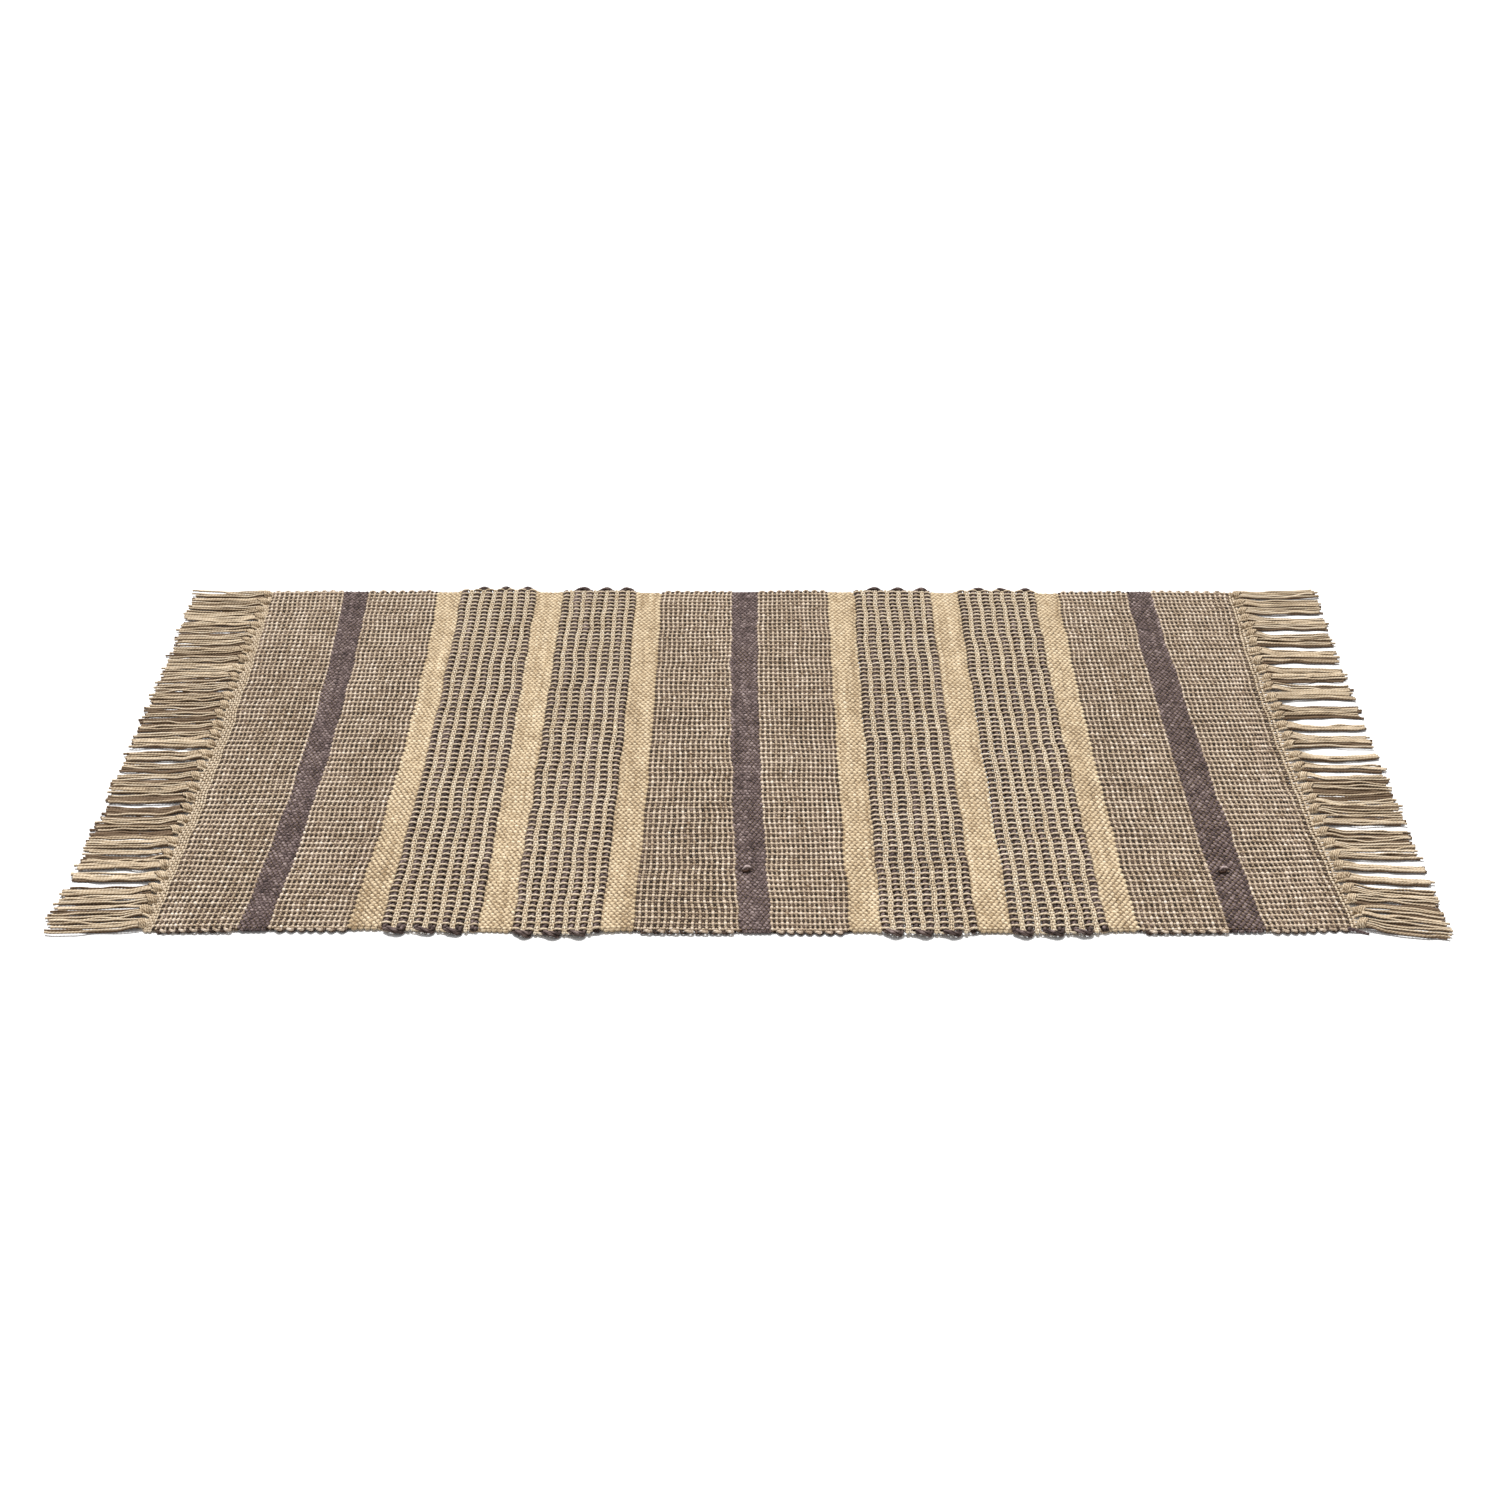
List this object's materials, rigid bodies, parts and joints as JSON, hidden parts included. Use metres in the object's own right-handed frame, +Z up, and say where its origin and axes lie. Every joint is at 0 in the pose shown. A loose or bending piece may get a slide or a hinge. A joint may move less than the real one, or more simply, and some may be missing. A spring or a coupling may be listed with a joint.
{
  "type": "bath mat",
  "caption": "Flat-woven rectangular bath mat with checked, plain and dashed bands across it and a knotted fringe at both ends.",
  "frame": {"origin": "on the floor under the middle of the mat", "axes": "+X along the warps from the left fringe to the right one, +Y from the front edge to the back edge, +Z up"},
  "size_m": [1.0442, 0.6, 0.0088],
  "materials": {
    "warp": "greige two-ply cotton",
    "sand": "sand cotton, flat weave",
    "dark": "aubergine grey cotton, flat weave",
    "check": "dark and sand cotton, checked weave",
    "dark_bundle": "thick aubergine grey cotton bundle"
  },
  "bodies": {
    "root": {"header_left": "warp", "header_right": "warp", "check_band_1": "check", "check_band_2": "check", "check_band_3": "check", "check_band_4": "check", "check_band_5": "check", "check_band_6": "check", "dark_stripe_1": "dark", "dark_stripe_2": "dark", "dark_stripe_3": "dark", "sand_stripe_1": "sand", "sand_stripe_2": "sand", "sand_stripe_3": "sand", "sand_stripe_4": "sand", "sand_stripe_5": "sand", "sand_stripe_6": "sand", "dash_ground_1": "sand", "dash_ground_2": "sand", "dash_ground_3": "sand", "dash_ground_4": "sand", "dash_cords_1": "dark_bundle", "dash_cords_2": "dark_bundle", "dash_cords_3": "dark_bundle", "dash_cords_4": "dark_bundle", "cord_turns_front": "dark_bundle", "edge_twists_front": "check", "cord_turns_back": "dark_bundle", "edge_twists_back": "check", "fringe_knots_left": "warp", "tassels_left": "warp", "fringe_knots_right": "warp", "tassels_right": "warp", "splice_knots": "dark", "weft_tail": "dark"}
  },
  "joints": []
}
